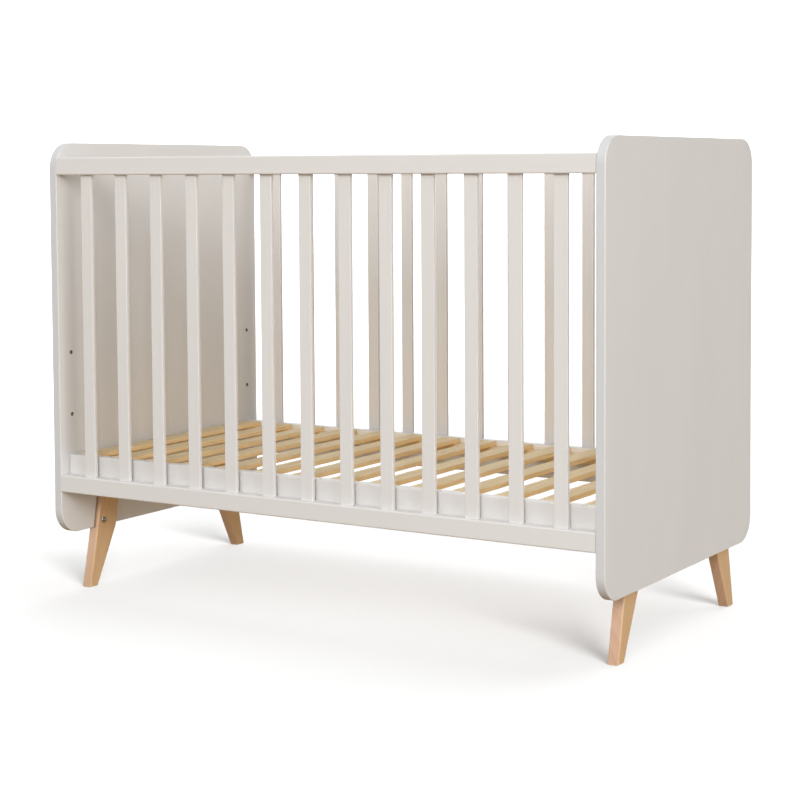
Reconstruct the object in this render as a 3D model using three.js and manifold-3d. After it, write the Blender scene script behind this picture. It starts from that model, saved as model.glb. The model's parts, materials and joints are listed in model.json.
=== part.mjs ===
// Baby crib: two flat end panels on splayed legs, slatted sides, and a slatted mattress base
// that hangs between the panels at one of three heights.
// Millimetres, +Z up, X along the length, origin on the floor under the middle of the crib.

import * as THREE from 'three';
import { mergeVertices, toCreasedNormals } from 'three/addons/utils/BufferGeometryUtils.js';
import Module from 'manifold-3d';

const wasm = await Module();
wasm.setup();

// Gap left between pieces that touch in the real crib
const GAP = 0.3;

// Overall size
const LENGTH = 1240;
const WIDTH = 660;
const HEIGHT = 915;

// End panels
const PANEL_THICKNESS = 18;
const PANEL_BOTTOM = 120;
const PANEL_CORNER_RADIUS = 50;
const PANEL_EDGE_RADIUS = 2;
const INNER_LENGTH = LENGTH - 2 * PANEL_THICKNESS;

// Side rails and upright slats
const RAIL_HEIGHT = 35;
const RAIL_DEPTH = 25;
const RAIL_EDGE_RADIUS = 4;
const RAIL_CENTRE_Y = (WIDTH - RAIL_DEPTH) / 2;
const TOP_RAIL_TOP = 885;
const BOTTOM_RAIL_TOP = 243;
const SLAT_COUNT = 13;
const SLAT_PITCH = 88.6;
const SLAT_WIDTH = 27;
const SLAT_THICKNESS = 8;
const SLAT_EDGE_RADIUS = 2;
const SLAT_CENTRE_Y = 317.2;
const MORTISE_DEPTH = 12;

// Mattress base at its lowest height
const BASE_TOP = 282;
const BASE_LENGTH = 1202;
const BOARD_THICKNESS = 20;
const BOARD_HEIGHT = 70;
const BOARD_EDGE_RADIUS = 2;
const BOARD_CENTRE_Y = 294;
const LEDGER_SIZE = 20;
const LEDGER_LENGTH = 1190;
const CROSS_SLAT_COUNT = 14;
const CROSS_SLAT_WIDTH = 40;
const CROSS_SLAT_THICKNESS = 10;
const CROSS_SLAT_SPREAD = 1154;
const CROSS_SLAT_EDGE_RADIUS = 2.5;

// Height holes in the panels, and the fittings that hang the base in them
const HEIGHT_HOLE_RADIUS = 4;
const HEIGHT_HOLE_DEPTH = 12;
const LOWEST_HOLE = 237;
const HEIGHT_STEP = 126.5;
const HEIGHT_COUNT = 3;
const CAM_HOLE_RADIUS = 5;
const CAM_HOLE_BOTTOM = 230;
const CAM_CENTRE_X = 566;
const PIN_HOLE_RADIUS = 3.7;

// Legs: the tongue lies on the panel's inner face, the lower part reaches under the panel
const LEG_THICKNESS = 22;
const TONGUE_THICKNESS = 11.2;
const LEG_TOP = 205;
const LEG_EDGE_RADIUS = 3;

// Leg bolts
const LEG_BOLT_INSET = 112;
const LEG_BOLT_HEIGHT = 135;
const BOLT_HEAD_RADIUS = 6.5;
const BOLT_HEAD_HEIGHT = 3.2;
const BOLT_SHANK_RADIUS = 3;
const BOLT_HOLE_RADIUS = 3.4;
const BOLT_DEPTH_IN_PANEL = 11;
const SOCKET_RADIUS = 2.3;
const SOCKET_DEPTH = 2;

const crib = new THREE.Group();
crib.name = 'baby_crib';

// ---- Materials ----

function whitePaint() {
  return new THREE.MeshStandardMaterial({ color: 0xf0ece6, roughness: 0.45, metalness: 0 });
}

function pine() {
  return new THREE.MeshStandardMaterial({ color: 0xdcc09a, roughness: 0.6, metalness: 0 });
}

function beech() {
  return new THREE.MeshStandardMaterial({ color: 0xd6a878, roughness: 0.5, metalness: 0 });
}

function steel() {
  return new THREE.MeshStandardMaterial({ color: 0xb9bbbd, roughness: 0.3, metalness: 1 });
}

// ---- Shape helpers ----

function toSolid(geometry) {
  const bare = geometry.clone();
  bare.deleteAttribute('normal');
  bare.deleteAttribute('uv');
  const merged = mergeVertices(bare, 1e-4);
  return new wasm.Manifold(new wasm.Mesh({
    numProp: 3,
    vertProperties: new Float32Array(merged.attributes.position.array),
    triVerts: new Uint32Array(merged.index.array),
  }));
}

function toGeometry(solid) {
  const mesh = solid.getMesh();
  const geometry = new THREE.BufferGeometry();
  geometry.setAttribute('position', new THREE.BufferAttribute(mesh.vertProperties, 3));
  geometry.setIndex(new THREE.BufferAttribute(mesh.triVerts, 1));
  return toCreasedNormals(geometry, Math.PI / 5);
}

function cut(geometry, cutters) {
  const solid = cutters.reduce((rest, cutter) => rest.subtract(toSolid(cutter)), toSolid(geometry));
  return toGeometry(solid);
}

function roundedRectangle(width, height, radius) {
  const x = width / 2 - radius;
  const y = height / 2 - radius;
  const shape = new THREE.Shape();
  shape.absarc(x, -y, radius, -Math.PI / 2, 0);
  shape.absarc(x, y, radius, 0, Math.PI / 2);
  shape.absarc(-x, y, radius, Math.PI / 2, Math.PI);
  shape.absarc(-x, -y, radius, Math.PI, 1.5 * Math.PI);
  shape.closePath();
  return shape;
}

// A straight bar with rounded long edges, centred on the origin, running along Z
function bar(width, height, length, edgeRadius) {
  const shape = roundedRectangle(width, height, edgeRadius);
  const geometry = new THREE.ExtrudeGeometry(shape, { depth: length, bevelEnabled: false, curveSegments: 3 });
  return geometry.translate(0, 0, -length / 2);
}

// Turns an outline drawn in (Y, Z) and extruded along Z into one extruded along X
function alongX(geometry) {
  const yAxis = new THREE.Vector3(0, 1, 0);
  const zAxis = new THREE.Vector3(0, 0, 1);
  const xAxis = new THREE.Vector3(1, 0, 0);
  return geometry.applyMatrix4(new THREE.Matrix4().makeBasis(yAxis, zAxis, xAxis));
}

// A plate with rounded edges, its outline in (Y, Z) and its thickness centred on x = 0
function plate(outline, thickness, edgeRadius, curveSegments) {
  const geometry = new THREE.ExtrudeGeometry(outline, {
    depth: thickness - 2 * edgeRadius,
    bevelThickness: edgeRadius,
    bevelSize: edgeRadius,
    bevelOffset: -edgeRadius,
    bevelSegments: 3,
    curveSegments,
  });
  geometry.translate(0, 0, edgeRadius - thickness / 2);
  return alongX(geometry);
}

function rod(radius, length, x, y, z, segments = 20) {
  return new THREE.CylinderGeometry(radius, radius, length, segments)
    .rotateZ(Math.PI / 2)
    .translate(x, y, z);
}

function add(name, geometry, material, x, y, z) {
  const mesh = new THREE.Mesh(geometry, material);
  mesh.name = name;
  mesh.position.set(x, y, z);
  crib.add(mesh);
  return mesh;
}

// ---- End panels ----

function addPanel(name, side) {
  const centreX = side * (LENGTH - PANEL_THICKNESS) / 2;
  const centreZ = (PANEL_BOTTOM + HEIGHT) / 2;
  const innerFace = -side * PANEL_THICKNESS / 2;
  const outline = roundedRectangle(WIDTH, HEIGHT - PANEL_BOTTOM, PANEL_CORNER_RADIUS);
  const board = plate(outline, PANEL_THICKNESS, PANEL_EDGE_RADIUS, 8);
  const holes = [];
  for (const end of [-1, 1]) {
    for (let step = 0; step < HEIGHT_COUNT; step += 1) {
      const z = LOWEST_HOLE + step * HEIGHT_STEP - centreZ;
      holes.push(rod(HEIGHT_HOLE_RADIUS, 2 * HEIGHT_HOLE_DEPTH, innerFace, end * BOARD_CENTRE_Y, z));
    }
    const boltY = end * (WIDTH / 2 - LEG_BOLT_INSET);
    const boltDepth = BOLT_DEPTH_IN_PANEL + 1;
    holes.push(rod(BOLT_HOLE_RADIUS, 2 * boltDepth, innerFace, boltY, LEG_BOLT_HEIGHT - centreZ));
  }
  add(name, cut(board, holes), whitePaint(), centreX, 0, centreZ);
}

// ---- Slatted sides ----

function slatX(index) {
  return (index - (SLAT_COUNT - 1) / 2) * SLAT_PITCH;
}

// openingSide is -1 where the mortises open downwards and 1 where they open upwards
function addRail(name, side, topZ, openingSide) {
  const length = INNER_LENGTH - 2 * GAP;
  const rail = alongX(bar(RAIL_DEPTH, RAIL_HEIGHT, length, RAIL_EDGE_RADIUS));
  const mortises = [];
  for (let index = 0; index < SLAT_COUNT; index += 1) {
    const mortise = new THREE.BoxGeometry(
      SLAT_WIDTH + 2 * GAP,
      SLAT_THICKNESS + 2 * GAP,
      2 * MORTISE_DEPTH,
    );
    const y = side * (SLAT_CENTRE_Y - RAIL_CENTRE_Y);
    mortises.push(mortise.translate(slatX(index), y, openingSide * RAIL_HEIGHT / 2));
  }
  add(name, cut(rail, mortises), whitePaint(), 0, side * RAIL_CENTRE_Y, topZ - RAIL_HEIGHT / 2);
}

function addSide(name, side) {
  addRail(`${name}_top_rail`, side, TOP_RAIL_TOP, -1);
  addRail(`${name}_bottom_rail`, side, BOTTOM_RAIL_TOP, 1);
  const lowerEnd = BOTTOM_RAIL_TOP - MORTISE_DEPTH + GAP;
  const upperEnd = TOP_RAIL_TOP - RAIL_HEIGHT + MORTISE_DEPTH - GAP;
  for (let index = 0; index < SLAT_COUNT; index += 1) {
    const slat = bar(SLAT_WIDTH, SLAT_THICKNESS, upperEnd - lowerEnd, SLAT_EDGE_RADIUS);
    const slatName = `${name}_slat_${String(index + 1).padStart(2, '0')}`;
    add(slatName, slat, whitePaint(), slatX(index), side * SLAT_CENTRE_Y, (lowerEnd + upperEnd) / 2);
  }
}

// ---- Mattress base ----

function addBaseBoard(name, side) {
  const centreZ = BASE_TOP - BOARD_HEIGHT / 2;
  const board = alongX(bar(BOARD_THICKNESS, BOARD_HEIGHT, BASE_LENGTH, BOARD_EDGE_RADIUS));
  const holes = [];
  for (const end of [-1, 1]) {
    const camHoleHeight = BASE_TOP - CAM_HOLE_BOTTOM + 10;
    const camHole = new THREE.CylinderGeometry(CAM_HOLE_RADIUS, CAM_HOLE_RADIUS, camHoleHeight, 20);
    camHole.rotateX(Math.PI / 2);
    camHole.translate(end * CAM_CENTRE_X, 0, CAM_HOLE_BOTTOM + camHoleHeight / 2 - centreZ);
    const pinHoleLength = BASE_LENGTH / 2 - CAM_CENTRE_X;
    const pinHoleX = end * (CAM_CENTRE_X + pinHoleLength / 2 + 1);
    holes.push(camHole, rod(PIN_HOLE_RADIUS, pinHoleLength + 2, pinHoleX, 0, LOWEST_HOLE - centreZ));
  }
  add(name, cut(board, holes), whitePaint(), 0, side * BOARD_CENTRE_Y, centreZ);
}

function addLedger(name, side) {
  const ledger = alongX(bar(LEDGER_SIZE, LEDGER_SIZE, LEDGER_LENGTH, 1));
  const y = BOARD_CENTRE_Y - BOARD_THICKNESS / 2 - GAP - LEDGER_SIZE / 2;
  const z = BASE_TOP - CROSS_SLAT_THICKNESS - GAP - LEDGER_SIZE / 2;
  add(name, ledger, pine(), 0, side * y, z);
}

function addCrossSlats() {
  const length = 2 * BOARD_CENTRE_Y - BOARD_THICKNESS - 2 * GAP;
  const pitch = CROSS_SLAT_SPREAD / (CROSS_SLAT_COUNT - 1);
  for (let index = 0; index < CROSS_SLAT_COUNT; index += 1) {
    const slat = bar(CROSS_SLAT_WIDTH, CROSS_SLAT_THICKNESS, length, CROSS_SLAT_EDGE_RADIUS);
    slat.rotateX(Math.PI / 2);
    const name = `base_cross_slat_${String(index + 1).padStart(2, '0')}`;
    const x = index * pitch - CROSS_SLAT_SPREAD / 2;
    add(name, slat, pine(), x, 0, BASE_TOP - CROSS_SLAT_THICKNESS / 2);
  }
}

// ---- Legs ----

// Outline in (Y, Z): u is the distance from the panel's edge towards the middle of the crib
function legOutline(side) {
  const y = (u) => side * (WIDTH / 2 - u);
  const shape = new THREE.Shape();
  shape.moveTo(y(69), 0);
  shape.lineTo(y(93), 0);
  shape.lineTo(y(149), 112);
  shape.quadraticCurveTo(y(154), 122, y(155), 135);
  shape.lineTo(y(164), LEG_TOP);
  shape.lineTo(y(109), LEG_TOP);
  shape.lineTo(y(98), 140);
  shape.quadraticCurveTo(y(96), 128, y(93), 114);
  shape.closePath();
  return shape;
}

function addLeg(name, sideX, sideY) {
  const tongueFace = INNER_LENGTH / 2 - GAP;
  const centreX = sideX * (tongueFace - TONGUE_THICKNESS + LEG_THICKNESS / 2);
  const leg = plate(legOutline(sideY), LEG_THICKNESS, LEG_EDGE_RADIUS, 4);
  const rebate = new THREE.BoxGeometry(LEG_THICKNESS, WIDTH, 2 * LEG_TOP);
  const rebateX = sideX * (tongueFace + LEG_THICKNESS / 2) - centreX;
  rebate.translate(rebateX, 0, PANEL_BOTTOM - GAP + LEG_TOP);
  const boltY = sideY * (WIDTH / 2 - LEG_BOLT_INSET);
  const boltHole = rod(BOLT_HOLE_RADIUS, 2 * LEG_THICKNESS, 0, boltY, LEG_BOLT_HEIGHT);
  add(name, cut(leg, [rebate, boltHole]), beech(), centreX, 0, 0);
}

// Button-head bolt on the X axis, its head's underside at x = 0 and its shank towards +X
function boltGeometry() {
  const shankEnd = GAP + TONGUE_THICKNESS + GAP + BOLT_DEPTH_IN_PANEL;
  const profile = [
    new THREE.Vector2(0, -BOLT_HEAD_HEIGHT),
    new THREE.Vector2(0.62 * BOLT_HEAD_RADIUS, -BOLT_HEAD_HEIGHT),
    new THREE.Vector2(0.86 * BOLT_HEAD_RADIUS, -0.78 * BOLT_HEAD_HEIGHT),
    new THREE.Vector2(BOLT_HEAD_RADIUS, -0.35 * BOLT_HEAD_HEIGHT),
    new THREE.Vector2(BOLT_HEAD_RADIUS, 0),
    new THREE.Vector2(BOLT_SHANK_RADIUS, 0),
    new THREE.Vector2(BOLT_SHANK_RADIUS, shankEnd - 1),
    new THREE.Vector2(BOLT_SHANK_RADIUS - 1, shankEnd),
    new THREE.Vector2(0, shankEnd),
  ];
  const bolt = new THREE.LatheGeometry(profile, 24).rotateZ(-Math.PI / 2);
  return cut(bolt, [rod(SOCKET_RADIUS, 2 * SOCKET_DEPTH, -BOLT_HEAD_HEIGHT, 0, 0, 6)]);
}

function addLegBolt(name, sideX, sideY) {
  const headSeat = sideX * (INNER_LENGTH / 2 - GAP - TONGUE_THICKNESS - GAP);
  const y = sideY * (WIDTH / 2 - LEG_BOLT_INSET);
  const bolt = add(name, boltGeometry(), steel(), headSeat, y, LEG_BOLT_HEIGHT);
  bolt.rotation.z = sideX > 0 ? 0 : Math.PI;
}

// ---- Assembly ----

addPanel('left_end_panel', -1);
addPanel('right_end_panel', 1);
addSide('front', -1);
addSide('rear', 1);
addBaseBoard('base_front_board', -1);
addBaseBoard('base_rear_board', 1);
addLedger('base_front_ledger', -1);
addLedger('base_rear_ledger', 1);
addCrossSlats();
for (const [lengthwise, sideX] of [['left', -1], ['right', 1]]) {
  for (const [crosswise, sideY] of [['front', -1], ['rear', 1]]) {
    addLeg(`${lengthwise}_${crosswise}_leg`, sideX, sideY);
    addLegBolt(`${lengthwise}_${crosswise}_leg_bolt`, sideX, sideY);
  }
}

export default crib;
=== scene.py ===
"""Baby crib: painted end panels and slatted sides, beech legs, pine mattress base.

Every piece is rebuilt around its CAD node with finer edges and a procedural material.
Metres, +X along the length, +Z up, the floor at z = 0.
"""

import json
import math
import random

import bmesh
import bpy
from mathutils import Matrix, Vector

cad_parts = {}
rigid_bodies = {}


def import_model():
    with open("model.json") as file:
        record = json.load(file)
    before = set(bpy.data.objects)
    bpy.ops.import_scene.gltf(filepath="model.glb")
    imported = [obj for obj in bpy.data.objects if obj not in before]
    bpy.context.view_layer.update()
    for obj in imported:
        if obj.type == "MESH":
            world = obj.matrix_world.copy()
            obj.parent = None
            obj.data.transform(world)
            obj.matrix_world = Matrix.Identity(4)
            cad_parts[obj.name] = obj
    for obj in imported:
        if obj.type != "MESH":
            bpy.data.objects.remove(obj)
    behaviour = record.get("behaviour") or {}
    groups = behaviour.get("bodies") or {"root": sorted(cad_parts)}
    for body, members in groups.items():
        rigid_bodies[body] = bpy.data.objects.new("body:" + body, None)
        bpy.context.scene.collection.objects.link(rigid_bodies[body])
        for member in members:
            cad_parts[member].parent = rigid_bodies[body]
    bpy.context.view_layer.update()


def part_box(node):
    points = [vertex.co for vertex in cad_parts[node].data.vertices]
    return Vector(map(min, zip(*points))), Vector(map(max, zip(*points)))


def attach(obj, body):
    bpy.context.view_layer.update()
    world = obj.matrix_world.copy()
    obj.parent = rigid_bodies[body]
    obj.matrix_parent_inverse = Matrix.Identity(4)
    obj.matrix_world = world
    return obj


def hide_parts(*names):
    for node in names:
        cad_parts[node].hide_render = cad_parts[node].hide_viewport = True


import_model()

X_AXIS = Vector((1, 0, 0))
Y_AXIS = Vector((0, 1, 0))
Z_AXIS = Vector((0, 0, 1))

# Camera: place in metres, turns in degrees, lens and sensor in millimetres
CAMERA_PLACE = (1.970, -3.097, 0.8566)
CAMERA_YAW = 30.99
CAMERA_PITCH = -3.55
CAMERA_ROLL = -0.24
CAMERA_LENS = 82.74
CAMERA_SENSOR = 36
CAMERA_SHIFT = (-0.0565, -0.1447)

# Edge roundings
PANEL_CORNER = 0.050
PANEL_EDGE = 0.0016
RAIL_EDGE = 0.003
SLAT_EDGE = 0.0012
BOARD_EDGE = 0.002
LEDGER_EDGE = 0.001
CROSS_SLAT_EDGE = 0.0025
LEG_EDGE = 0.003
END_EASE = 0.0006

# Slats on each side, and across the mattress base
SIDE_SLATS = 13
CROSS_SLATS = 14

# Holes: a cutter stands out of the face that it cuts, and a round hole's mouth is slightly broken
CUTTER_OVERSHOOT = 0.002
HOLE_BREAK = 0.0004
MORTISE_PLAY = 0.0003
MORTISE_DEPTH = 0.012
HEIGHT_HOLE_RADIUS = 0.004
PANEL_HOLE_DEPTH = 0.012
HEIGHT_HOLES_Z = (0.237, 0.3635, 0.490)
CAM_X = 0.566
CAM_HOLE_RADIUS = 0.005
CAM_HOLE_BOTTOM = 0.230
PIN_HOLE_RADIUS = 0.0037
BOLT_HOLE_RADIUS = 0.0034
LEG_HOLE_DEPTH = 0.040

# A panel's vertex is in a height hole if it lies this deep behind the inner face, and this far from the rim
BARE_DEPTHS = (0.0003, 0.013)
RIM_WIDTH = 0.018

# Cams: they lie on the bottom of their holes, with a cross slot given by half its length, width and depth
CAM_HEIGHT = 0.013
CAM_PLAY = 0.0002
CAM_LIFT = 0.0004
CAM_CHAMFER = 0.0005
CAM_SLOT_HALF = (0.0036, 0.0006, 0.0012)
PIN_SEAT_START = 0.003
PIN_SEAT_LENGTH = 0.010

# Connecting pins: each starts this far outside its cam's centre, and its neck is measured from there
PIN_RADIUS = 0.0034
PIN_LENGTH = 0.0440
PIN_START = 0.0035
PIN_NECK = (0.0020, 0.0052)
PIN_NECK_DEPTH = 0.0012
PIN_NECK_SHOULDER = 0.0002
PIN_INNER_CHAMFER = 0.0006
PIN_TIP_CHAMFER = 0.0008

# Leg bolts: a domed button head, whose flat and shoulder are shares of its radius, on a round shank
BOLT_FLAT = 0.60
BOLT_SHOULDER = 0.70
BOLT_FLAT_DROP = 0.0002
BOLT_DOME = 0.0022
BOLT_DOME_ANGLES = (65, 50, 35, 20, 5)
BOLT_HEAD_THICKNESS = 0.0032
BOLT_SHANK_RADIUS = 0.003
BOLT_TIP_CHAMFER = 0.001
SOCKET_RADIUS = 0.0023
SOCKET_DEPTH = 0.002

# Leg outline: u is the distance from the panel's edge towards the middle of the crib
LEG_TONGUE = 0.0112
LEG_FOOT = (0.069, 0.093)
LEG_TOP = (0.109, 0.164)
LEG_INNER_BEND = ((0.149, 0.112), (0.154, 0.122), (0.155, 0.135))
LEG_OUTER_BEND = ((0.098, 0.140), (0.096, 0.128), (0.093, 0.114))
LEG_LEAN = 0.36
REBATE_OVERSHOOT = 0.05

# Studio: each patch of the world's light as direction, cosine at its rim, sharpness and strength
WORLD_GLOWS = (
    ((0, 0, 1), 0, 2, 0.42),
    ((0.98, -0.05, 0.08), 0, 24, 7.20),
    ((-0.50, -0.80, 0.40), 0, 3, 0.65),
    ((-0.515, 0.857, 0.1), 0.2, 3, 1.60),
    ((-1, 0.25, 0.1), 0.2, 2, 1.00),
    ((0, 0, -1), 0, 1, 1.00),
)

# Light from below the horizon turns to this colour, fully so from this slope down
BOUNCE_COLOUR = (0.36, 0.24, 0.11, 1.0)
BOUNCE_SLOPE = -0.15

# Soft boxes: name, direction from the crib, distance, size and power in watts
SOFT_BOXES = (
    ("low_right_key", (0.876, -0.48, 0.27), 10.0, 2.5, 150),
    ("front_key", (0.28, -1.0, 0.30), 8.0, 3.0, 218),
    ("high_front_key", (0.45, -0.85, 0.55), 8.0, 3.0, 142),
)
SOFT_BOX_TARGET = Vector((0, 0, 0.5))

# Warm light that comes up between the pine slats: size along X and Y, gap below them, power and colour
BASE_GLOW_SIZE = (1.14, 0.56)
BASE_GLOW_GAP = 0.0002
BASE_GLOW_POWER = 0.80
BASE_GLOW_COLOUR = (1.0, 0.64, 0.20)

# White floor and dome: their glow grows between two distances from the crib
SWEEP_RADIUS = 20
SWEEP_DROP = 0.0003
SWEEP_GREY = 0.30
SWEEP_GLOW = (0.18, 1.05)
SWEEP_GLOW_REACH = (1.2, 3.5)

# Suns that light only the floor: direction, angle in degrees and strength
REAR_SUN = ((0.10, 0.55, 0.85), 60, 3.1)
FOOT_SUN = ((1.7, -1.2, 1.0), 30, 9.8)

scene = bpy.context.scene
random.seed(7)


# ---------- Mesh helpers ----------

def new_object(name, bm):
    mesh = bpy.data.meshes.new(name)
    bmesh.ops.recalc_face_normals(bm, faces=bm.faces[:])
    bm.to_mesh(mesh)
    bm.free()
    obj = bpy.data.objects.new(name, mesh)
    scene.collection.objects.link(obj)
    return obj


def bevel(bm, edges, radius, segments):
    bmesh.ops.bevel(
        bm,
        geom=edges,
        offset=radius,
        offset_type="OFFSET",
        segments=segments,
        profile=0.5,
        affect="EDGES",
    )


def runs_along(edge, axis):
    direction = (edge.verts[1].co - edge.verts[0].co).normalized()
    return abs(direction.dot(axis)) > 0.999


def block(low, high):
    """A plain box as a bmesh."""
    size = high - low
    bm = bmesh.new()
    bmesh.ops.create_cube(bm, size=1)
    bmesh.ops.transform(
        bm,
        matrix=Matrix.Translation((low + high) / 2) @ Matrix.Diagonal((*size, 1)),
        verts=bm.verts[:],
    )
    return bm


def bar(name, low, high, axis, radius, segments=4):
    """A straight bar with rounded long edges and eased ends."""
    bm = block(low, high)
    bevel(bm, [e for e in bm.edges if runs_along(e, axis)], radius, segments)
    ends = {f for f in bm.faces if abs(f.normal.dot(axis)) > 0.99}
    rim = [e for e in bm.edges if len(ends & set(e.link_faces)) == 1]
    bevel(bm, rim, END_EASE, 2)
    return new_object(name, bm)


def slab(name, outline, low_x, high_x, radius, segments=4):
    """An outline in (Y, Z), extruded along X, with its rim rounded on both faces."""
    bm = bmesh.new()
    rings = [[bm.verts.new((x, y, z)) for y, z in outline] for x in (low_x, high_x)]
    faces = [bm.faces.new(ring) for ring in rings]
    for index in range(len(outline)):
        after = (index + 1) % len(outline)
        bm.faces.new((rings[0][index], rings[0][after], rings[1][after], rings[1][index]))
    bmesh.ops.recalc_face_normals(bm, faces=bm.faces[:])
    rim = [e for face in faces for e in face.edges]
    bevel(bm, rim, radius, segments)
    return new_object(name, bm)


def revolve(name, profile, origin, direction, segments=32):
    """A turned piece: the profile is a list of (distance along direction, radius)."""
    side = direction.orthogonal().normalized()
    other = direction.cross(side)
    bm = bmesh.new()
    rings = []
    for distance, radius in profile:
        ring = []
        for step in range(segments):
            angle = math.tau * step / segments
            offset = (side * math.cos(angle) + other * math.sin(angle)) * radius
            ring.append(bm.verts.new(origin + direction * distance + offset))
        rings.append(ring)
    for ring, following in zip(rings, rings[1:]):
        for step in range(segments):
            after = (step + 1) % segments
            bm.faces.new((ring[step], ring[after], following[after], following[step]))
    bm.faces.new(rings[0])
    bm.faces.new(rings[-1])
    return new_object(name, bm)


def cut(obj, cutters):
    """Takes the cutters out of the object and deletes them."""
    for cutter in cutters:
        modifier = obj.modifiers.new("cut", "BOOLEAN")
        modifier.operation = "DIFFERENCE"
        modifier.solver = "EXACT"
        modifier.object = cutter
    bpy.context.view_layer.update()
    solid = obj.evaluated_get(bpy.context.evaluated_depsgraph_get())
    mesh = bpy.data.meshes.new_from_object(solid)
    obj.modifiers.clear()
    obj.data = mesh
    for cutter in cutters:
        bpy.data.objects.remove(cutter)


def hole(mouth, direction, radius, depth, segments=24):
    """A cutter for a round hole with a slightly broken edge at its mouth."""
    mouth_radius = radius + HOLE_BREAK
    profile = [(-CUTTER_OVERSHOOT, mouth_radius), (0, mouth_radius), (HOLE_BREAK, radius), (depth, radius)]
    return revolve("hole", profile, mouth, direction, segments)


def store_grain(obj, along):
    """Gives each vertex its place along and across the grain, seen from a pith outside the piece."""
    across = along.orthogonal().normalized()
    third = along.cross(across)
    centre = sum((Vector(corner) for corner in obj.bound_box), Vector()) / 8
    start = Vector((
        random.uniform(0, 20),
        random.uniform(0.02, 0.05) * random.choice((-1, 1)),
        random.uniform(0.02, 0.07) * random.choice((-1, 1)),
    ))
    attribute = obj.data.attributes.new("grain", "FLOAT_VECTOR", "POINT")
    for vertex, value in zip(obj.data.vertices, attribute.data):
        offset = vertex.co - centre
        place = Vector((offset.dot(along), offset.dot(across), offset.dot(third)))
        value.vector = place + start
    tint = obj.data.attributes.new("tint", "FLOAT", "POINT")
    shade = random.random()
    for value in tint.data:
        value.value = shade


def finish_piece(obj, body, material, along, nodes=()):
    """Smooth shading, grain, material, and the piece's place in the frame."""
    for polygon in obj.data.polygons:
        polygon.use_smooth = True
    obj.data.materials.clear()
    obj.data.materials.append(material)
    store_grain(obj, along)
    normals = obj.modifiers.new("flat faces stay flat", "WEIGHTED_NORMAL")
    normals.mode = "FACE_AREA"
    normals.weight = 90
    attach(obj, body)
    if nodes:
        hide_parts(*nodes)
    return obj


# ---------- Material helpers ----------

class Nodes:
    """Adds nodes to a node tree and joins them."""

    def __init__(self, tree):
        self.tree = tree

    def node(self, kind, **settings):
        node = self.tree.nodes.new(kind)
        for key, value in settings.items():
            setattr(node, key, value)
        return node

    def feed(self, socket, value):
        if isinstance(value, bpy.types.NodeSocket):
            self.tree.links.new(value, socket)
        else:
            socket.default_value = value

    def maths(self, operation, first, second=0.0):
        node = self.node("ShaderNodeMath", operation=operation)
        self.feed(node.inputs[0], first)
        self.feed(node.inputs[1], second)
        return node.outputs[0]

    def stretch(self, factors, vector):
        node = self.node("ShaderNodeVectorMath", operation="MULTIPLY")
        self.feed(node.inputs[0], vector)
        node.inputs[1].default_value = factors
        return node.outputs[0]

    def noise(self, vector, detail=2.0, roughness=0.5):
        node = self.node("ShaderNodeTexNoise")
        self.feed(node.inputs["Vector"], vector)
        node.inputs["Scale"].default_value = 1.0
        node.inputs["Detail"].default_value = detail
        node.inputs["Roughness"].default_value = roughness
        return node.outputs["Fac"]

    def facing_along(self, axis):
        """1 on a face that looks along the axis either way, 0 on one that looks across it."""
        normal = self.node("ShaderNodeSeparateXYZ")
        self.feed(normal.inputs[0], self.node("ShaderNodeNewGeometry").outputs["Normal"])
        return self.remap(self.maths("ABSOLUTE", normal.outputs[axis]), 0.2, 0.8)

    def remap(self, value, low, high, new_low=0.0, new_high=1.0):
        node = self.node("ShaderNodeMapRange")
        for socket, number in zip(node.inputs[:5], (value, low, high, new_low, new_high)):
            self.feed(socket, number)
        return node.outputs[0]

    def mix(self, factor, first, second, blend="MIX"):
        node = self.node("ShaderNodeMix", data_type="RGBA", blend_type=blend)
        self.feed(node.inputs["Factor"], factor)
        self.feed(node.inputs["A"], first)
        self.feed(node.inputs["B"], second)
        return next(s for s in node.outputs if s.type == "RGBA")

    def bump(self, height, strength, distance, normal=None):
        node = self.node("ShaderNodeBump")
        node.inputs["Strength"].default_value = strength
        node.inputs["Distance"].default_value = distance
        self.feed(node.inputs["Height"], height)
        if normal:
            self.feed(node.inputs["Normal"], normal)
        return node.outputs["Normal"]


class Shader(Nodes):
    """The nodes of one material around its Principled shader."""

    def __init__(self, name, roughness, metallic=0.0):
        self.material = bpy.data.materials.new(name)
        self.material.use_nodes = True
        super().__init__(self.material.node_tree)
        self.principled = self.tree.nodes["Principled BSDF"]
        self.principled.inputs["Roughness"].default_value = roughness
        self.principled.inputs["Metallic"].default_value = metallic
        self.grain = self.node("ShaderNodeAttribute", attribute_name="grain").outputs["Vector"]
        self.tint = self.node("ShaderNodeAttribute", attribute_name="tint").outputs["Fac"]

    def streaks(self, factors, detail=2.0, roughness=0.5):
        """Noise in the piece's own grain directions, with these many waves per metre."""
        return self.noise(self.stretch(factors, self.grain), detail, roughness)

    def output(self, colour, roughness, normal):
        self.feed(self.principled.inputs["Base Color"], colour)
        self.feed(self.principled.inputs["Roughness"], roughness)
        self.feed(self.principled.inputs["Normal"], normal)
        return self.material


def grey(value):
    return (value, value, value, 1.0)


# ---------- Materials ----------

WOOD_PAINT = (0.765, 0.748, 0.734, 1.0)
WOOD_PAINT_SHADE = (0.745, 0.726, 0.710, 1.0)
# Painted shade: the board's paint is a slightly darker, greyer copy of the wood's paint, for the lit panel
# faces
BOARD_PAINT = (0.748, 0.738, 0.731, 1.0)
BOARD_PAINT_SHADE = (0.728, 0.716, 0.707, 1.0)
# Painted shade: the board's cut edges are coloured darker and cooler than its faces
BOARD_EDGE_PAINTED_SHADE = (0.655, 0.660, 0.672, 1.0)
PAINT_OVER_FIBRES = (0.42, 0.42, 0.42, 1.0)
BARE_BOARD = (0.240, 0.165, 0.105, 1.0)

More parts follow.
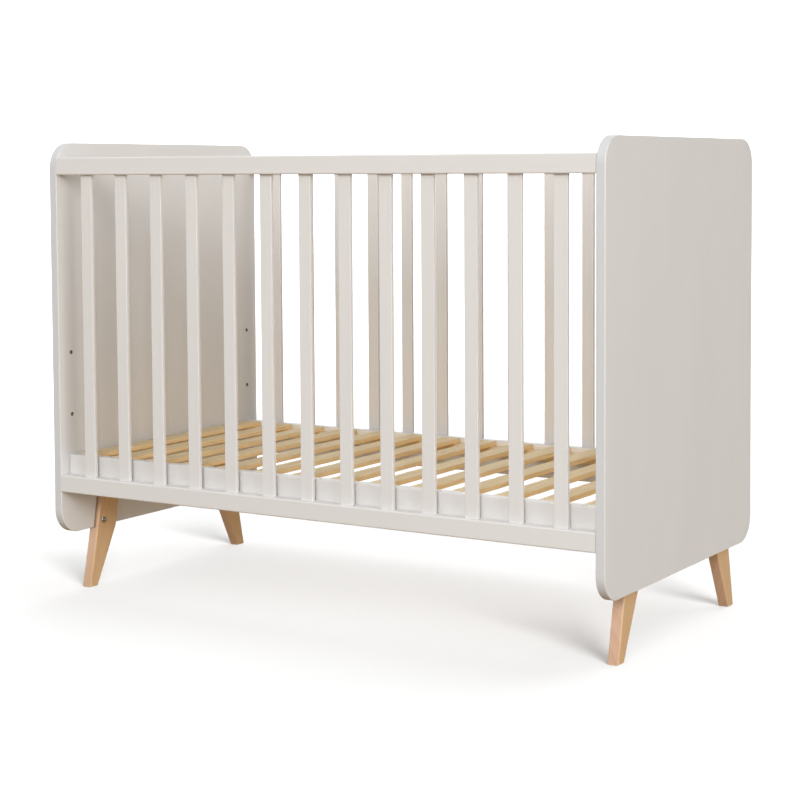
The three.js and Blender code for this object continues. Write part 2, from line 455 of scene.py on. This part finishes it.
PINE_PALE = (0.850, 0.720, 0.500, 1.0)
PINE_TAN = (0.800, 0.650, 0.430, 1.0)
PINE_WARM = (0.820, 0.665, 0.430, 1.0)
# Painted light: tint for the faces that look up or down
PINE_TOP_PAINTED_LIGHT = (0.850, 0.690, 0.420, 1.0)
PINE_LATE_WOOD = (0.580, 0.390, 0.190, 1.0)
PINE_FIBRES = (0.52, 0.36, 0.20, 1.0)

BEECH_PINK = (0.740, 0.500, 0.360, 1.0)
BEECH_ROSE = (0.690, 0.460, 0.325, 1.0)
# Painted shade: colour for the leg faces that look along X
BEECH_SIDE_PAINTED_SHADE = (0.700, 0.475, 0.265, 1.0)
BEECH_LATE_WOOD = (0.560, 0.310, 0.160, 1.0)
BEECH_FIBRES = (0.52, 0.30, 0.16, 1.0)
BEECH_FLECKS = (0.38, 0.20, 0.10, 1.0)

STEEL_BRIGHT = (0.62, 0.63, 0.65, 1.0)
STEEL_DULL = (0.50, 0.51, 0.53, 1.0)


def paint(name, colours, fibre_strength, edge_shade_strength):
    """Satin lacquer with a little orange peel, through which the wood's fibres just show.

    On board, the cut edges, which face across X, are painted darker and cooler: painted shade. Board is
    bare in its holes.
    """
    shader = Shader(name, 0.42)
    patches = shader.streaks((2, 9, 9), 3.0)
    fibres = shader.streaks((5, 420, 420), 3.0, 0.6)
    peel = shader.streaks((420, 420, 420), 2.0)
    scuffs = shader.streaks((30, 60, 60), 5.0, 0.7)
    colour = shader.mix(shader.remap(patches, 0.3, 0.7), *colours)
    # Painted shade on the cut edges, which face across X
    edge = shader.remap(shader.facing_along("X"), 0.0, 1.0, edge_shade_strength, 0.0)
    colour = shader.mix(edge, colour, BOARD_EDGE_PAINTED_SHADE)
    streaks = shader.remap(fibres, 0.35, 0.65, 0.0, 0.05 * fibre_strength)
    colour = shader.mix(streaks, colour, PAINT_OVER_FIBRES, "MULTIPLY")
    bare = shader.node("ShaderNodeAttribute", attribute_name="bare").outputs["Fac"]
    colour = shader.mix(bare, colour, BARE_BOARD)
    roughness = shader.remap(patches, 0.25, 0.75, 0.38, 0.46)
    roughness = shader.maths("ADD", roughness, shader.remap(scuffs, 0.55, 0.8, 0.0, 0.08))
    roughness = shader.maths("ADD", roughness, shader.maths("MULTIPLY", bare, 0.5))
    normal = shader.bump(peel, 0.10, 0.0003)
    normal = shader.bump(fibres, 0.12 * fibre_strength, 0.0003, normal)
    return shader.output(colour, roughness, normal)


def rings(shader, spacing, wobble):
    """Growth rings round a pith that runs along the grain: 0 in early wood, 1 in late wood."""
    drift = shader.streaks((1.6, 9, 9), 2.0)
    across = shader.node("ShaderNodeVectorMath", operation="LENGTH")
    shader.feed(across.inputs[0], shader.stretch((0, 1, 1), shader.grain))
    distance = shader.maths("ADD", across.outputs["Value"], shader.maths("MULTIPLY", drift, wobble))
    phase = shader.maths("FRACT", shader.maths("DIVIDE", distance, spacing))
    rise = shader.remap(phase, 0.35, 0.92)
    fall = shader.remap(phase, 0.94, 1.0, 1.0, 0.0)
    return shader.maths("MULTIPLY", rise, fall)


def pine():
    """Bare planed pine: broad pale rings with darker late wood, and fine fibres.

    The faces that look up or down get a tint of their own: painted light, standing in for how the light
    fell on the tops.
    """
    shader = Shader("bare_pine", 0.6)
    late = rings(shader, 0.0032, 0.022)
    fibres = shader.streaks((9, 420, 420), 4.0, 0.65)
    cloud = shader.streaks((2.5, 18, 18), 2.0)
    pale = shader.mix(shader.tint, PINE_PALE, PINE_TAN)
    warm = shader.mix(shader.remap(cloud, 0.3, 0.7), pale, PINE_WARM)
    # Painted light on the faces that look up or down
    top_painted_light_mask = shader.maths("MULTIPLY", shader.facing_along("Z"), 0.7)
    ground_with_painted_light = shader.mix(top_painted_light_mask, warm, PINE_TOP_PAINTED_LIGHT)
    colour = shader.mix(shader.maths("MULTIPLY", late, 0.40), ground_with_painted_light, PINE_LATE_WOOD)
    colour = shader.mix(shader.remap(fibres, 0.4, 0.75, 0.0, 0.20), colour, PINE_FIBRES)
    roughness = shader.remap(fibres, 0.3, 0.7, 0.52, 0.68)
    shader.principled.inputs["Specular IOR Level"].default_value = 0.1
    normal = shader.bump(fibres, 0.3, 0.0003)
    normal = shader.bump(late, 0.15, 0.0003, normal)
    return shader.output(colour, roughness, normal)


def beech():
    """Lacquered beech with faint rings and short dark flecks.

    The narrow sides of a leg are pinkish, and its broad faces, which look along X, are painted darker and
    more golden: painted shade.
    """
    shader = Shader("lacquered_beech", 0.45)
    late = rings(shader, 0.0045, 0.012)
    fibres = shader.streaks((12, 500, 500), 3.0, 0.6)
    flecks = shader.streaks((220, 1500, 1500), 1.0)
    cloud = shader.streaks((5, 22, 22), 2.0)
    pinkish = shader.mix(shader.remap(cloud, 0.3, 0.7), BEECH_PINK, BEECH_ROSE)
    # Painted shade on the faces that look along X
    ground_with_painted_light = shader.mix(shader.facing_along("X"), pinkish, BEECH_SIDE_PAINTED_SHADE)
    colour = shader.mix(shader.maths("MULTIPLY", late, 0.25), ground_with_painted_light, BEECH_LATE_WOOD)
    colour = shader.mix(shader.remap(fibres, 0.4, 0.75, 0.0, 0.25), colour, BEECH_FIBRES)
    colour = shader.mix(shader.remap(flecks, 0.68, 0.74, 0.0, 0.5), colour, BEECH_FLECKS)
    roughness = shader.remap(fibres, 0.3, 0.7, 0.36, 0.5)
    normal = shader.bump(fibres, 0.15, 0.0002)
    return shader.output(colour, roughness, normal)


def steel():
    """Zinc-plated steel with a faint cloudy bloom and fine turning marks."""
    shader = Shader("zinc_plated_steel", 0.3, metallic=1.0)
    cloud = shader.streaks((160, 160, 160), 3.0)
    marks = shader.streaks((4000, 300, 300), 2.0)
    colour = shader.mix(shader.remap(cloud, 0.3, 0.7), STEEL_BRIGHT, STEEL_DULL)
    roughness = shader.remap(cloud, 0.3, 0.7, 0.24, 0.40)
    normal = shader.bump(marks, 0.2, 0.0001)
    return shader.output(colour, roughness, normal)


painted_board = paint("painted_board", (BOARD_PAINT, BOARD_PAINT_SHADE), 0.4, 1.0)
painted_wood = paint("painted_wood", (WOOD_PAINT, WOOD_PAINT_SHADE), 0.6, 0.0)
bare_pine = pine()
lacquered_beech = beech()
zinc_steel = steel()


# ---------- End panels ----------

def rounded_rectangle(low, high, radius, steps=16):
    """Outline points, with an arc of the given radius at each corner."""
    centres = [
        (high[0] - radius, high[1] - radius),
        (low[0] + radius, high[1] - radius),
        (low[0] + radius, low[1] + radius),
        (high[0] - radius, low[1] + radius),
    ]
    points = []
    for quarter, (y, z) in enumerate(centres):
        for step in range(steps + 1):
            angle = math.pi / 2 * (quarter + step / steps)
            points.append((y + radius * math.cos(angle), z + radius * math.sin(angle)))
    return points


def mark_bare(panel, inner_x, low, high):
    """Marks the walls and the bottoms of the height holes, where the board is bare."""
    attribute = panel.data.attributes.new("bare", "FLOAT", "POINT")
    shallowest, deepest = BARE_DEPTHS
    for vertex, value in zip(panel.data.vertices, attribute.data):
        depth = abs(vertex.co.x - inner_x)
        is_behind_face = shallowest < depth < deepest
        is_off_rim = all(low[i] + RIM_WIDTH < vertex.co[i] < high[i] - RIM_WIDTH for i in (1, 2))
        value.value = float(is_behind_face and is_off_rim)


def make_panel(node):
    low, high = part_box(node)
    side = 1 if low.x > 0 else -1
    inner_x = low.x if side > 0 else high.x
    outline = rounded_rectangle((low.y, low.z), (high.y, high.z), PANEL_CORNER)
    panel = slab(f"{node}_board", outline, low.x, high.x, PANEL_EDGE)
    direction = X_AXIS * side
    board_low, board_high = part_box("base_rear_board")
    pin_y = (board_low.y + board_high.y) / 2
    holes = []
    for end in (-1, 1):
        for z in HEIGHT_HOLES_Z:
            mouth = Vector((inner_x, end * pin_y, z))
            holes.append(hole(mouth, direction, HEIGHT_HOLE_RADIUS, PANEL_HOLE_DEPTH))
    for bolt in ("front", "rear"):
        low_bolt, high_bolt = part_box(f"right_{bolt}_leg_bolt")
        middle = (low_bolt + high_bolt) / 2
        mouth = Vector((inner_x, middle.y, middle.z))
        holes.append(hole(mouth, direction, BOLT_HOLE_RADIUS, PANEL_HOLE_DEPTH))
    cut(panel, holes)
    mark_bare(panel, inner_x, low, high)
    finish_piece(panel, "crib_frame", painted_board, Z_AXIS, [node])


# ---------- Slatted sides ----------

def make_rail(node, side_name):
    low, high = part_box(node)
    rail = bar(f"{node}_bar", low, high, X_AXIS, RAIL_EDGE, 6)
    mortises = bmesh.new()
    is_top = "top" in node
    for index in range(1, SIDE_SLATS + 1):
        slat_low, slat_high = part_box(f"{side_name}_slat_{index:02d}")
        play = Vector((MORTISE_PLAY, MORTISE_PLAY, 0))
        if is_top:
            slat_low.z = low.z - MORTISE_DEPTH
            slat_high.z = low.z + MORTISE_DEPTH
        else:
            slat_low.z = high.z - MORTISE_DEPTH
            slat_high.z = high.z + MORTISE_DEPTH
        piece = block(slat_low - play, slat_high + play)
        mesh = bpy.data.meshes.new("mortise")
        piece.to_mesh(mesh)
        piece.free()
        mortises.from_mesh(mesh)
    cut(rail, [new_object("mortises", mortises)])
    finish_piece(rail, "crib_frame", painted_wood, X_AXIS, [node])


def make_side(side_name):
    make_rail(f"{side_name}_top_rail", side_name)
    make_rail(f"{side_name}_bottom_rail", side_name)
    for index in range(1, SIDE_SLATS + 1):
        node = f"{side_name}_slat_{index:02d}"
        slat = bar(f"{node}_bar", *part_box(node), Z_AXIS, SLAT_EDGE)
        finish_piece(slat, "crib_frame", painted_wood, Z_AXIS, [node])


# ---------- Mattress base ----------

def make_base_board(node):
    low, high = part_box(node)
    board = bar(f"{node}_bar", low, high, X_AXIS, BOARD_EDGE)
    y = (low.y + high.y) / 2
    cutters = []
    for end in (-1, 1):
        cam_mouth = Vector((end * CAM_X, y, high.z))
        cutters.append(hole(cam_mouth, -Z_AXIS, CAM_HOLE_RADIUS, high.z - CAM_HOLE_BOTTOM, 32))
        pin_mouth = Vector((end * high.x, y, HEIGHT_HOLES_Z[0]))
        cutters.append(hole(pin_mouth, -X_AXIS * end, PIN_HOLE_RADIUS, high.x - CAM_X))
    cut(board, cutters)
    finish_piece(board, "mattress_base", painted_wood, X_AXIS, [node])


def make_cam(name, place):
    """A cam with a cross slot in its top, at the bottom of its hole."""
    radius = CAM_HOLE_RADIUS - CAM_PLAY
    profile = [
        (0, radius - CAM_CHAMFER),
        (CAM_CHAMFER, radius),
        (CAM_HEIGHT - CAM_CHAMFER, radius),
        (CAM_HEIGHT, radius - CAM_CHAMFER),
    ]
    cam = revolve(name, profile, place, Z_AXIS, 40)
    top = place + Z_AXIS * CAM_HEIGHT
    length, width, depth = CAM_SLOT_HALF
    cutters = []
    for half in (Vector((length, width, depth)), Vector((width, length, depth))):
        cutters.append(new_object("slot", block(top - half, top + half)))
    pin_side = X_AXIS if place.x > 0 else -X_AXIS
    seat_start = Vector((place.x, place.y, HEIGHT_HOLES_Z[0])) + pin_side * PIN_SEAT_START
    seat_profile = [(0, PIN_HOLE_RADIUS), (PIN_SEAT_LENGTH, PIN_HOLE_RADIUS)]
    cutters.append(revolve("seat", seat_profile, seat_start, pin_side))
    cut(cam, cutters)
    finish_piece(cam, "mattress_base", zinc_steel, Z_AXIS)


def make_pin(name, y, end):
    """The pin that the cam pulls on, from the board's end into the panel's height hole."""
    start = Vector((end * (CAM_X + PIN_START), y, HEIGHT_HOLES_Z[0]))
    neck_start, neck_end = PIN_NECK
    neck_radius = PIN_RADIUS - PIN_NECK_DEPTH
    profile = [
        (0, PIN_RADIUS - PIN_INNER_CHAMFER),
        (PIN_INNER_CHAMFER, PIN_RADIUS),
        (neck_start, PIN_RADIUS),
        (neck_start + PIN_NECK_SHOULDER, neck_radius),
        (neck_end - PIN_NECK_SHOULDER, neck_radius),
        (neck_end, PIN_RADIUS),
        (PIN_LENGTH - PIN_TIP_CHAMFER, PIN_RADIUS),
        (PIN_LENGTH, PIN_RADIUS - PIN_TIP_CHAMFER),
    ]
    pin = revolve(name, profile, start, X_AXIS * end)
    finish_piece(pin, "mattress_base", zinc_steel, X_AXIS)


def make_base():
    for place in ("front", "rear"):
        board = f"base_{place}_board"
        make_base_board(board)
        ledger = f"base_{place}_ledger"
        piece = bar(f"{ledger}_bar", *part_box(ledger), X_AXIS, LEDGER_EDGE, 3)
        finish_piece(piece, "mattress_base", bare_pine, X_AXIS, [ledger])
        low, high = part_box(board)
        y = (low.y + high.y) / 2
        for end_name, end in (("left", -1), ("right", 1)):
            cam_place = Vector((end * CAM_X, y, CAM_HOLE_BOTTOM + CAM_LIFT))
            make_cam(f"base_{place}_{end_name}_cam", cam_place)
            make_pin(f"base_{place}_{end_name}_pin", y, end)
    for index in range(1, CROSS_SLATS + 1):
        node = f"base_cross_slat_{index:02d}"
        slat = bar(f"{node}_bar", *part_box(node), Y_AXIS, CROSS_SLAT_EDGE)
        finish_piece(slat, "mattress_base", bare_pine, Y_AXIS, [node])


# ---------- Legs ----------

def curve(start, control, end, steps=5):
    """Points of a quadratic curve."""
    points = []
    for step in range(steps + 1):
        t = step / steps
        points.append(start * (1 - t) ** 2 + control * 2 * t * (1 - t) + end * t ** 2)
    return points


def leg_outline(top_z):
    """Leg seen from the end of the crib, as (u, z)."""
    inner_bend = curve(*(Vector(point) for point in LEG_INNER_BEND))
    outer_bend = curve(*(Vector(point) for point in LEG_OUTER_BEND))
    foot = [Vector((LEG_FOOT[0], 0)), Vector((LEG_FOOT[1], 0))]
    top = [Vector((LEG_TOP[1], top_z)), Vector((LEG_TOP[0], top_z))]
    return foot + inner_bend + top + outer_bend


def make_leg(node, panel_node):
    low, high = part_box(node)
    panel_low, panel_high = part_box(panel_node)
    side_x = 1 if low.x > 0 else -1
    side_y = 1 if low.y > 0 else -1
    outline = [(side_y * (panel_high.y - u), z) for u, z in leg_outline(high.z)]
    leg = slab(f"{node}_wood", outline, low.x, high.x, LEG_EDGE, 5)
    tongue_x = low.x + LEG_TONGUE if side_x > 0 else high.x - LEG_TONGUE
    rebate_end = tongue_x + side_x * REBATE_OVERSHOOT
    corners = sorted((tongue_x, rebate_end))
    rebate_bottom = panel_low.z - MORTISE_PLAY
    rebate = block(
        Vector((corners[0], low.y - REBATE_OVERSHOOT, rebate_bottom)),
        Vector((corners[1], high.y + REBATE_OVERSHOOT, high.z + REBATE_OVERSHOOT)),
    )
    bolt_low, bolt_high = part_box(f"{node}_bolt")
    middle = (bolt_low + bolt_high) / 2
    inner_x = low.x if side_x > 0 else high.x
    mouth = Vector((inner_x, middle.y, middle.z))
    bolt_hole = hole(mouth, X_AXIS * side_x, BOLT_HOLE_RADIUS, LEG_HOLE_DEPTH)
    cut(leg, [new_object("rebate", rebate), bolt_hole])
    lean = Vector((0, -side_y * LEG_LEAN, 1)).normalized()
    finish_piece(leg, "crib_frame", lacquered_beech, lean, [node])


def make_leg_bolt(node):
    """A button-head bolt with a hexagon socket."""
    low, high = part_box(node)
    side = 1 if low.x > 0 else -1
    outer_x = low.x if side > 0 else high.x
    middle = (low + high) / 2
    place = Vector((outer_x, middle.y, middle.z))
    direction = X_AXIS * side
    head = (high.z - low.z) / 2
    length = high.x - low.x
    profile = [(0, BOLT_FLAT * head), (BOLT_FLAT_DROP, BOLT_SHOULDER * head)]
    for degrees in BOLT_DOME_ANGLES:
        angle = math.radians(degrees)
        distance = BOLT_DOME * (1 - math.sin(angle))
        profile.append((distance, head * (BOLT_SHOULDER + (1 - BOLT_SHOULDER) * math.cos(angle))))
    profile += [
        (BOLT_HEAD_THICKNESS, head),
        (BOLT_HEAD_THICKNESS, BOLT_SHANK_RADIUS),
        (length - BOLT_TIP_CHAMFER, BOLT_SHANK_RADIUS),
        (length, BOLT_SHANK_RADIUS - BOLT_TIP_CHAMFER),
    ]
    bolt = revolve(f"{node}_turned", profile, place, direction, 48)
    socket_profile = [(-CUTTER_OVERSHOOT, SOCKET_RADIUS), (SOCKET_DEPTH, SOCKET_RADIUS)]
    socket = revolve("socket", socket_profile, place, direction, 6)
    cut(bolt, [socket])
    finish_piece(bolt, "crib_frame", zinc_steel, X_AXIS, [node])


# ---------- Set ----------

def make_sweep():
    """A white floor that meets a white dome. Only the camera sees it: it lights nothing."""
    bm = bmesh.new()
    bmesh.ops.create_circle(bm, cap_ends=True, radius=SWEEP_RADIUS, segments=96)
    bmesh.ops.create_uvsphere(bm, u_segments=96, v_segments=48, radius=SWEEP_RADIUS)
    sweep = new_object("sweep", bm)
    sweep.location.z = -SWEEP_DROP
    shader = Shader("white_sweep", 0.9)
    place = shader.node("ShaderNodeNewGeometry").outputs["Position"]
    distance = shader.node("ShaderNodeVectorMath", operation="LENGTH")
    shader.feed(distance.inputs[0], place)
    glow = shader.remap(distance.outputs["Value"], *SWEEP_GLOW_REACH, *SWEEP_GLOW)
    cloud = shader.noise(shader.stretch((1.5, 1.5, 1.5), place), 2.0)
    colour = shader.mix(cloud, grey(SWEEP_GREY), grey(SWEEP_GREY + 0.01))
    shader.principled.inputs["Specular IOR Level"].default_value = 0.0
    shader.feed(shader.principled.inputs["Base Color"], colour)
    shader.principled.inputs["Emission Color"].default_value = grey(1.0)
    shader.feed(shader.principled.inputs["Emission Strength"], glow)
    sweep.data.materials.append(shader.material)
    sweep.visible_diffuse = False
    sweep.visible_glossy = False
    sweep.visible_transmission = False
    sweep.visible_shadow = False


def make_world():
    """Soft patches of white light, each brightest in its own direction."""
    world = bpy.data.worlds.new("studio")
    world.use_nodes = True
    scene.world = world
    sky = Nodes(world.node_tree)
    direction = sky.node("ShaderNodeTexCoord").outputs["Generated"]
    total = 0.0
    for aim, rim, sharpness, strength in WORLD_GLOWS:
        facing = sky.node("ShaderNodeVectorMath", operation="DOT_PRODUCT")
        sky.feed(facing.inputs[0], direction)
        facing.inputs[1].default_value = Vector(aim).normalized()
        patch = sky.maths("POWER", sky.remap(facing.outputs["Value"], rim, 1.0), sharpness)
        total = sky.maths("ADD", total, sky.maths("MULTIPLY", patch, strength))
    height = sky.node("ShaderNodeSeparateXYZ")
    sky.feed(height.inputs[0], direction)
    below = sky.remap(height.outputs["Z"], 0.0, BOUNCE_SLOPE)
    background = sky.tree.nodes["Background"]
    sky.feed(background.inputs["Color"], sky.mix(below, grey(1.0), BOUNCE_COLOUR))
    sky.feed(background.inputs["Strength"], total)


def make_lamp(name, kind, direction, distance):
    """A lamp that looks at the middle of the crib from the given direction."""
    data = bpy.data.lights.new(name, kind)
    lamp = bpy.data.objects.new(name, data)
    scene.collection.objects.link(lamp)
    away = Vector(direction).normalized()
    lamp.location = SOFT_BOX_TARGET + away * distance
    lamp.rotation_euler = away.to_track_quat("Z", "Y").to_euler()
    return lamp


def make_soft_box(name, direction, distance, size, power):
    """A square lamp that stands off the crib."""
    lamp = make_lamp(name, "AREA", direction, distance)
    lamp.data.shape = "SQUARE"
    lamp.data.size = size
    lamp.data.energy = power


def make_base_glow():
    """Lies at the undersides of the cross slats, faces up between them, and moves with the base."""
    slat_low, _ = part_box("base_cross_slat_01")
    lamp = make_lamp("base_glow", "AREA", -Z_AXIS, 0)
    lamp.location = Vector((0, 0, slat_low.z - BASE_GLOW_GAP))
    lamp.data.shape = "RECTANGLE"
    lamp.data.size, lamp.data.size_y = BASE_GLOW_SIZE
    lamp.data.energy = BASE_GLOW_POWER
    lamp.data.color = BASE_GLOW_COLOUR
    lamp.visible_camera = False
    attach(lamp, "mattress_base")


def make_floor_sun(name, sun, blockers=()):
    """A soft sun that lights only the floor, shadowed by everything or by the given pieces."""
    direction, degrees, strength = sun
    lamp = make_lamp(name, "SUN", direction, 5)
    lamp.data.angle = math.radians(degrees)
    lamp.data.energy = strength
    receivers = bpy.data.collections.new(f"{name}_lights")
    receivers.objects.link(bpy.data.objects["sweep"])
    lamp.light_linking.receiver_collection = receivers
    if blockers:
        shadowing = bpy.data.collections.new(f"{name}_shadows")
        for piece in blockers:
            shadowing.objects.link(piece)
        lamp.light_linking.blocker_collection = shadowing


def make_camera():
    yaw = math.radians(CAMERA_YAW)
    pitch = math.radians(CAMERA_PITCH)
    forward = Vector((
        -math.sin(yaw) * math.cos(pitch),
        math.cos(yaw) * math.cos(pitch),
        math.sin(pitch),
    ))
    right = Vector((math.cos(yaw), math.sin(yaw), 0))
    right.rotate(Matrix.Rotation(math.radians(CAMERA_ROLL), 3, -forward))
    up = right.cross(forward)
    data = bpy.data.cameras.new("camera")
    data.lens = CAMERA_LENS
    data.sensor_width = CAMERA_SENSOR
    data.shift_x, data.shift_y = CAMERA_SHIFT
    camera = bpy.data.objects.new("camera", data)
    scene.collection.objects.link(camera)
    turn = Matrix((right, up, -forward)).transposed()
    camera.matrix_world = Matrix.Translation(CAMERA_PLACE) @ turn.to_4x4()
    scene.camera = camera


make_panel("left_end_panel")
make_panel("right_end_panel")
make_side("front")
make_side("rear")
make_base()
for end in ("left", "right"):
    for place in ("front", "rear"):
        make_leg(f"{end}_{place}_leg", f"{end}_end_panel")
        make_leg_bolt(f"{end}_{place}_leg_bolt")
make_sweep()
make_world()
for soft_box in SOFT_BOXES:
    make_soft_box(*soft_box)
make_base_glow()
make_floor_sun("rear_sun", REAR_SUN)
make_floor_sun("foot_sun", FOOT_SUN, [o for o in scene.objects if o.name.endswith("_leg_wood")])
make_camera()
scene.view_settings.view_transform = "Standard"
